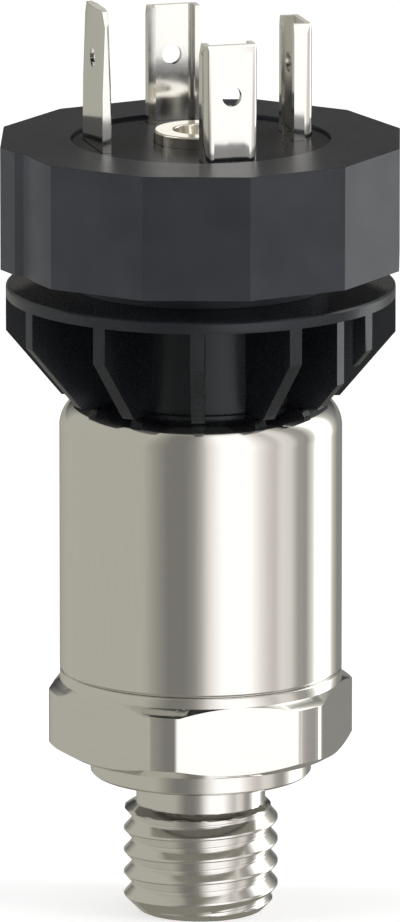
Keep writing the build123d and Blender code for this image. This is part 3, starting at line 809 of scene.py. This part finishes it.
def open_loop(mesh, level, radius):
    """Edges of an open rim at about a level and a radius, in mm."""
    found = []
    for edge in mesh.edges:
        middle = (edge.verts[0].co + edge.verts[1].co) / 2
        near_level = abs(middle.z / MM - level) < rim_level_error
        near_radius = abs(hypot(middle.x, middle.y) / MM - radius) < rim_radius_error
        if edge.is_boundary and near_level and near_radius:
            found.append(edge)
    return found


def pull_rim(mesh, rim, radius, level):
    """Extrude a round rim to another radius and level, and return the new rim."""
    made = bmesh.ops.extrude_edge_only(mesh, edges=rim)["geom"]
    new_verts = [item for item in made if isinstance(item, bmesh.types.BMVert)]
    for vert in new_verts:
        share = radius * MM / hypot(vert.co.x, vert.co.y)
        vert.co = (vert.co.x * share, vert.co.y * share, level * MM)
    chosen = set(new_verts)
    return [
        item for item in made
        if isinstance(item, bmesh.types.BMEdge) and set(item.verts) <= chosen
    ]


print("one tooth's outline has", len(thread_tooth()), "points")

# %% [markdown]
# The solid's own stud is cut off in the neck and the thread takes its place. The thread's foot is
# pulled in to the bore and up inside it, and then two bridges close the gaps between the upper and
# the lower part, one outside in the neck and one in the bore.

# %% Join the thread to the fitting's hexagon
hexagon_edge_r = 9.3
hexagon_edge_top = 8.9
hexagon_softening = 0.05 * MM
fitting = merged_copy("process_fitting")
cut_off(fitting, (0, 0, neck_cut_z * MM), (0, 0, -1))


def visible_outer_edge(edge):
    """True for the fitting's outside edges, which are the ones that catch the light."""
    middle = (edge.verts[0].co + edge.verts[1].co) / 2
    far_out = hypot(middle.x, middle.y) > hexagon_edge_r * MM
    return far_out and 0.0 < middle.z < hexagon_edge_top * MM


soften_edges(fitting, hexagon_softening, visible_outer_edge)
thread = turn_thread()
foot_rim = open_loop(thread, stud_foot, thread_r - stud_chamfer)
mouth_rim = pull_rim(thread, foot_rim, bore_r + bore_mouth, stud_foot)
bore_rim = pull_rim(thread, mouth_rim, bore_r, stud_foot + bore_mouth)
pull_rim(thread, bore_rim, bore_r, thread_cut_z)
thread_data = bpy.data.meshes.new("thread")
thread.to_mesh(thread_data)
thread.free()
fitting.from_mesh(thread_data)
for radius in (relief_r, bore_r):
    rims = open_loop(fitting, neck_cut_z, radius) + open_loop(fitting, thread_cut_z, radius)
    bmesh.ops.bridge_loops(fitting, edges=rims)
bmesh.ops.recalc_face_normals(fitting, faces=fitting.faces)
print("open edges left in the fitting:", sum(edge.is_boundary for edge in fitting.edges))
put_piece(fitting, "threaded_fitting", "process_fitting", radians(47))

# %% [markdown]
# The mouldings and the folded contacts keep the shapes of their solids, and get the small radii
# that a mould or a press tool leaves. The rims of the punched holes stay sharp.

# %% Round the edges of the mouldings and contacts
longest_hole_chord = 0.4 * MM


def long_edge(edge):
    """True for edges longer than the short chords of a round hole."""
    return edge.calc_length() > longest_hole_chord


softened_pieces = {
    "collar_moulding": ("ribbed_collar", 0.10, None),
    "head_moulding": ("connector_head", 0.07, None),
    "carrier_moulding": ("contact_carrier", 0.03, None),
    "folded_contact_1": ("contact_1", 0.04, long_edge),
    "folded_contact_2": ("contact_2", 0.04, long_edge),
    "folded_contact_3": ("contact_3", 0.04, long_edge),
    "plated_insert": ("screw_insert", 0.05, None),
}
for name, (node, width, chosen) in softened_pieces.items():
    copy = merged_copy(node)
    soften_edges(copy, width * MM, chosen)
    put_piece(copy, name, node)

# %% [markdown]
# The earth blade guides the plug, so its tip is thinned. Long flat cuts run up its four corners
# and grow wider towards the top. A plane takes each one off, and the open cut is filled again. A
# low limit for sharp edges keeps these shallow cuts flat instead of shaded round.

# %% Thin the tip of the earth blade
blade_low, blade_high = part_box("earth_contact")
lead_length = 7.0 * MM
lead_width = 2.0 * MM
lead_depth = 0.25 * MM
blade_softening = 0.03 * MM


def cut_corner(mesh, face_x, inward_x, edge_y, inward_y):
    """Cut a long corner that tapers from nothing to its full width at the blade's top."""
    start = Vector((face_x, edge_y, blade_high.z - lead_length))
    on_face = Vector((face_x, edge_y + inward_y * lead_width, blade_high.z))
    on_edge = Vector((face_x + inward_x * lead_depth, edge_y, blade_high.z))
    outward = (on_face - start).cross(on_edge - start).normalized()
    if outward.dot(Vector((inward_x, inward_y, 0))) > 0:
        outward.negate()
    bmesh.ops.edgeloop_fill(mesh, edges=cut_off(mesh, start, outward))


blade = merged_copy("earth_contact")
for face_x, inward_x in ((blade_low.x, 1), (blade_high.x, -1)):
    for edge_y, inward_y in ((blade_low.y, 1), (blade_high.y, -1)):
        cut_corner(blade, face_x, inward_x, edge_y, inward_y)
bmesh.ops.recalc_face_normals(blade, faces=blade.faces)
print("open edges left in the blade:", sum(edge.is_boundary for edge in blade.edges))
soften_edges(blade, blade_softening, long_edge)
put_piece(blade, "earth_blade", "earth_contact", radians(5))
